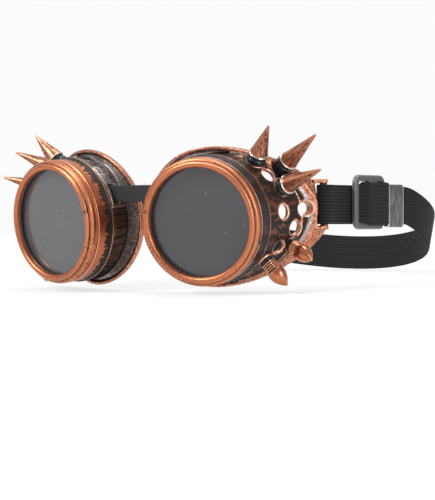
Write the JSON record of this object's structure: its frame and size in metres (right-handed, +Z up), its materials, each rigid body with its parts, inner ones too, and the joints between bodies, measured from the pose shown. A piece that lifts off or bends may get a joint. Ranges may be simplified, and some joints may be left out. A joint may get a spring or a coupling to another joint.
{
  "type": "costume goggles",
  "caption": "Round-lens costume goggles in antique copper and black, with screw-in lenses, spikes and bullet studs on vented eyecups, a rubber nose strip and an adjustable elastic strap.",
  "frame": {"origin": "Midway between the two lens centres, at the front of the retaining rings.", "axes": "+X to the wearer's left, -Y the way the goggles look, +Z up; the strap runs back along +Y."},
  "size_m": [0.191, 0.2199, 0.0775],
  "materials": {
    "copper_plate": "antique copper plating on moulded plastic, brushed with black patina",
    "dark_copper_plate": "dark brown antique copper plating on moulded plastic, worn bright at the edges",
    "copper_metal": "copper-plated turned metal with dark streaks",
    "black_metal": "glossy black turned collar",
    "bright_metal": "bare grey metal",
    "tinted_lens": "grey tinted flat lens",
    "black_rubber": "matte black rubber",
    "black_webbing": "ribbed black elastic webbing",
    "black_plastic": "satin black moulded plastic"
  },
  "bodies": {
    "nose_bridge_body": {"nose_bridge": "black_rubber"},
    "left_cup": {"left_barrel": "dark_copper_plate", "left_eyecup": "dark_copper_plate", "left_rear_gasket": "black_rubber", "left_spike_collars": "black_metal", "left_spike_washers": "bright_metal", "left_spike_upper": "copper_metal", "left_spike_middle": "copper_metal", "left_spike_side": "copper_metal", "left_bullet_side": "copper_metal", "left_bullet_lower": "copper_metal", "left_spike_screws": "bright_metal"},
    "right_cup": {"right_barrel": "dark_copper_plate", "right_eyecup": "dark_copper_plate", "right_rear_gasket": "black_rubber", "right_spike_collars": "black_metal", "right_spike_washers": "bright_metal", "right_spike_upper": "copper_metal", "right_spike_middle": "copper_metal", "right_spike_side": "copper_metal", "right_bullet_side": "copper_metal", "right_bullet_lower": "copper_metal", "right_spike_screws": "bright_metal"},
    "left_lens_pack": {"left_lens": "tinted_lens", "left_front_gasket": "black_rubber"},
    "right_lens_pack": {"right_lens": "tinted_lens", "right_front_gasket": "black_rubber"},
    "left_ring": {"left_retaining_ring": "copper_plate"},
    "right_ring": {"right_retaining_ring": "copper_plate"},
    "left_strap_body": {"left_strap": "black_webbing"},
    "right_strap_body": {"right_strap": "black_webbing", "strap_end_clip": "bright_metal"},
    "slider_body": {"slider_frame": "black_plastic", "slider_webbing": "black_webbing", "slider_clip": "bright_metal"}
  },
  "joints": [
    {"name": "left_cup_fold", "type": "hinge", "parent": "nose_bridge_body", "child": "left_cup", "pos_m": [0.0172, 0.0138, 0.0137], "axis": [0, 0, 1], "range_deg": [-3, 6], "stiffness_Nm_per_rad": 0.02},
    {"name": "right_cup_fold", "type": "hinge", "parent": "nose_bridge_body", "child": "right_cup", "pos_m": [-0.0172, 0.0138, 0.0137], "axis": [0, 0, 1], "range_deg": [-6, 3]},
    {"name": "left_strap_swing", "type": "hinge", "parent": "left_cup", "child": "left_strap_body", "pos_m": [0.07814, 0.05601, 0.00685], "axis": [0, 0, 1], "range_deg": [-8, 4.5]},
    {"name": "strap_back_flex", "type": "hinge", "parent": "left_strap_body", "child": "right_strap_body", "pos_m": [0, 0.21067, -0.02372], "axis": [0, 0, 1], "range_deg": [-2, 4]},
    {"name": "slider_slide", "type": "slide", "parent": "left_strap_body", "child": "slider_body", "axis": [0, 0.9994, -0.0349], "range_m": [-0.011, 0.002]},
    {"name": "left_lens_lift", "type": "slide", "parent": "left_cup", "child": "left_lens_pack", "axis": [0.1859, -0.9794, -0.0785], "range_m": [0, 0.004]},
    {"name": "left_ring_turn", "type": "hinge", "parent": "left_lens_pack", "child": "left_ring", "pos_m": [0.04368, 0.00588, 0.00047], "axis": [0.1859, -0.9794, -0.0785], "range_deg": [0, 720]},
    {"name": "right_lens_lift", "type": "slide", "parent": "right_cup", "child": "right_lens_pack", "axis": [-0.1859, -0.9794, -0.0785], "range_m": [0, 0.004]},
    {"name": "right_ring_turn", "type": "hinge", "parent": "right_lens_pack", "child": "right_ring", "pos_m": [-0.04368, 0.00588, 0.00047], "axis": [-0.1859, -0.9794, -0.0785], "range_deg": [0, 720]}
  ],
  "couplings": [
    {"joint": "right_cup_fold", "follows": "left_cup_fold", "ratio": -1},
    {"joint": "left_strap_swing", "follows": "left_cup_fold", "ratio": -1.2817},
    {"joint": "strap_back_flex", "follows": "left_cup_fold", "ratio": 0.56348},
    {"joint": "left_ring_turn", "follows": "left_lens_lift", "rad_per_m": 3141.6},
    {"joint": "right_ring_turn", "follows": "right_lens_lift", "rad_per_m": 3141.6}
  ]
}
